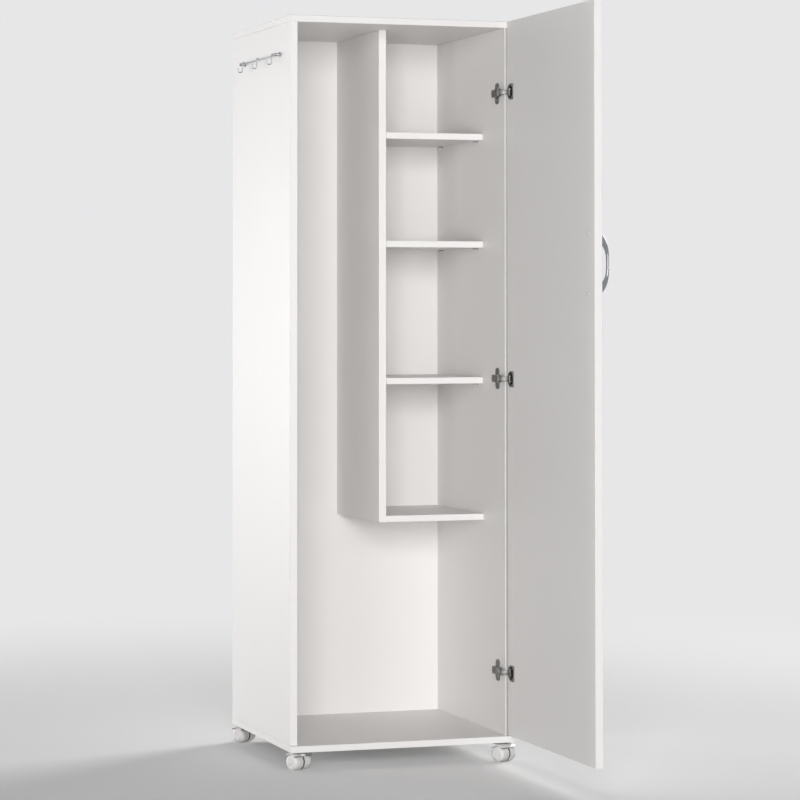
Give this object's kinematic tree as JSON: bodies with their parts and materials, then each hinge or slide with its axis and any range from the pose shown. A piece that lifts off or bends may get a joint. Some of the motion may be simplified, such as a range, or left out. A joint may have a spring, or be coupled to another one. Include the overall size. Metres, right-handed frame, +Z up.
{
  "type": "broom cupboard",
  "caption": "Tall white broom cupboard on twin-wheel casters: open bay beside a shelf bay, full-height door on cup hinges, bow handle and a side rail with hooks",
  "frame": {"origin": "on the floor, in the middle of the ground covered by the cupboard and its open door", "axes": "+Z up; -Y is the front of the cupboard; +X is the side that carries the door, with -X the side that carries the hook rail"},
  "size_m": [0.5928, 1.0374, 1.7],
  "materials": {
    "board_white": "white melamine-faced particle board with edge strip, satin",
    "back_white": "white lacquered hardboard",
    "dowel_wood": "fluted beech",
    "chrome": "polished chrome plate",
    "nickel_steel": "nickel-plated pressed steel",
    "screw_steel": "zinc-plated steel",
    "cap_white": "white polythene",
    "caster_hood_white": "white nylon, fine texture",
    "caster_wheel_white": "pale nylon"
  },
  "bodies": {
    "carcass": {"base_panel": "board_white", "top_panel": "board_white", "left_side": "board_white", "right_side": "board_white", "divider": "board_white", "fixed_shelf": "board_white", "upper_shelf": "board_white", "middle_shelf": "board_white", "lower_shelf": "board_white", "back_panel": "back_white", "wood_dowels": "dowel_wood", "shelf_supports": "screw_steel", "carcass_screws": "screw_steel", "cover_caps": "cap_white", "hinge_plates": "nickel_steel", "hinge_arms": "nickel_steel", "hinge_arm_pins": "nickel_steel", "hinge_adjusting_screws": "nickel_steel", "hinge_plate_screws": "nickel_steel", "hook_rail": "chrome", "rail_posts": "chrome", "rail_screws": "screw_steel", "caster_screws": "screw_steel", "caster_front_left_plate": "screw_steel", "caster_front_right_plate": "screw_steel", "caster_rear_left_plate": "screw_steel", "caster_rear_right_plate": "screw_steel"},
    "links": {"hinge_links": "nickel_steel"},
    "door": {"door_panel": "board_white", "hinge_cups": "nickel_steel", "hinge_cup_pins": "nickel_steel", "hinge_cup_screws": "nickel_steel", "handle": "chrome", "handle_screws": "screw_steel"},
    "hook_front": {"rail_hook_front": "chrome"},
    "hook_middle": {"rail_hook_middle": "chrome"},
    "hook_rear": {"rail_hook_rear": "chrome"},
    "caster_front_left": {"caster_front_left_hood": "caster_hood_white", "caster_front_left_axle": "screw_steel"},
    "wheel_front_left_left": {"caster_front_left_wheel_left": "caster_wheel_white"},
    "wheel_front_left_right": {"caster_front_left_wheel_right": "caster_wheel_white"},
    "caster_front_right": {"caster_front_right_hood": "caster_hood_white", "caster_front_right_axle": "screw_steel"},
    "wheel_front_right_left": {"caster_front_right_wheel_left": "caster_wheel_white"},
    "wheel_front_right_right": {"caster_front_right_wheel_right": "caster_wheel_white"},
    "caster_rear_left": {"caster_rear_left_hood": "caster_hood_white", "caster_rear_left_axle": "screw_steel"},
    "wheel_rear_left_left": {"caster_rear_left_wheel_left": "caster_wheel_white"},
    "wheel_rear_left_right": {"caster_rear_left_wheel_right": "caster_wheel_white"},
    "caster_rear_right": {"caster_rear_right_hood": "caster_hood_white", "caster_rear_right_axle": "screw_steel"},
    "wheel_rear_right_left": {"caster_rear_right_wheel_left": "caster_wheel_white"},
    "wheel_rear_right_right": {"caster_rear_right_wheel_right": "caster_wheel_white"}
  },
  "joints": [
    {"name": "link_swing", "type": "hinge", "parent": "carcass", "child": "links", "pos_m": [0.234, 0.02435, 0.875], "axis": [0, 0, 1], "range_deg": [-2.6, 15.62]},
    {"name": "door_swing", "type": "hinge", "parent": "links", "child": "door", "pos_m": [0.25618, 0.01195, 0.875], "axis": [0, 0, 1], "range_deg": [-105.62, 17.6]},
    {"name": "hook_front_slide", "type": "slide", "parent": "carcass", "child": "hook_front", "axis": [0, 1, 0], "range_m": [-0.012, 0.06]},
    {"name": "hook_middle_slide", "type": "slide", "parent": "carcass", "child": "hook_middle", "axis": [0, 1, 0], "range_m": [-0.06, 0.06]},
    {"name": "hook_rear_slide", "type": "slide", "parent": "carcass", "child": "hook_rear", "axis": [0, 1, 0], "range_m": [-0.06, 0.012]},
    {"name": "caster_front_left_swivel", "type": "hinge", "parent": "carcass", "child": "caster_front_left", "pos_m": [-0.234, 0.02775, 0.0375], "axis": [0, 0, 1], "continuous": true},
    {"name": "wheel_front_left_left_roll", "type": "hinge", "parent": "caster_front_left", "child": "wheel_front_left_left", "pos_m": [-0.2532, 0.03507, 0.0185], "axis": [0.8988, 0.4384, 0], "continuous": true},
    {"name": "wheel_front_left_right_roll", "type": "hinge", "parent": "caster_front_left", "child": "wheel_front_left_right", "pos_m": [-0.22795, 0.04739, 0.0185], "axis": [0.8988, 0.4384, 0], "continuous": true},
    {"name": "caster_front_right_swivel", "type": "hinge", "parent": "carcass", "child": "caster_front_right", "pos_m": [0.234, 0.02775, 0.0375], "axis": [0, 0, 1], "continuous": true},
    {"name": "wheel_front_right_left_roll", "type": "hinge", "parent": "caster_front_right", "child": "wheel_front_right_left", "pos_m": [0.25367, 0.02178, 0.0185], "axis": [-0.866, -0.5, 0], "continuous": true},
    {"name": "wheel_front_right_right_roll", "type": "hinge", "parent": "caster_front_right", "child": "wheel_front_right_right", "pos_m": [0.22933, 0.00773, 0.0185], "axis": [-0.866, -0.5, 0], "continuous": true},
    {"name": "caster_rear_left_swivel", "type": "hinge", "parent": "carcass", "child": "caster_rear_left", "pos_m": [-0.234, 0.48375, 0.0375], "axis": [0, 0, 1], "continuous": true},
    {"name": "wheel_rear_left_left_roll", "type": "hinge", "parent": "caster_rear_left", "child": "wheel_rear_left_left", "pos_m": [-0.25386, 0.48902, 0.0185], "axis": [0.848, 0.5299, 0], "continuous": true},
    {"name": "wheel_rear_left_right_roll", "type": "hinge", "parent": "caster_rear_left", "child": "wheel_rear_left_right", "pos_m": [-0.23003, 0.50392, 0.0185], "axis": [0.848, 0.5299, 0], "continuous": true},
    {"name": "caster_rear_right_swivel", "type": "hinge", "parent": "carcass", "child": "caster_rear_right", "pos_m": [0.234, 0.48375, 0.0375], "axis": [0, 0, 1], "continuous": true},
    {"name": "wheel_rear_right_left_roll", "type": "hinge", "parent": "caster_rear_right", "child": "wheel_rear_right_left", "pos_m": [0.21389, 0.48798, 0.0185], "axis": [0.8192, 0.5736, 0], "continuous": true},
    {"name": "wheel_rear_right_right_roll", "type": "hinge", "parent": "caster_rear_right", "child": "wheel_rear_right_right", "pos_m": [0.23691, 0.5041, 0.0185], "axis": [0.8192, 0.5736, 0], "continuous": true}
  ],
  "couplings": [
    {"joint": "link_swing", "follows": "door_swing", "ratio": -0.14792}
  ]
}
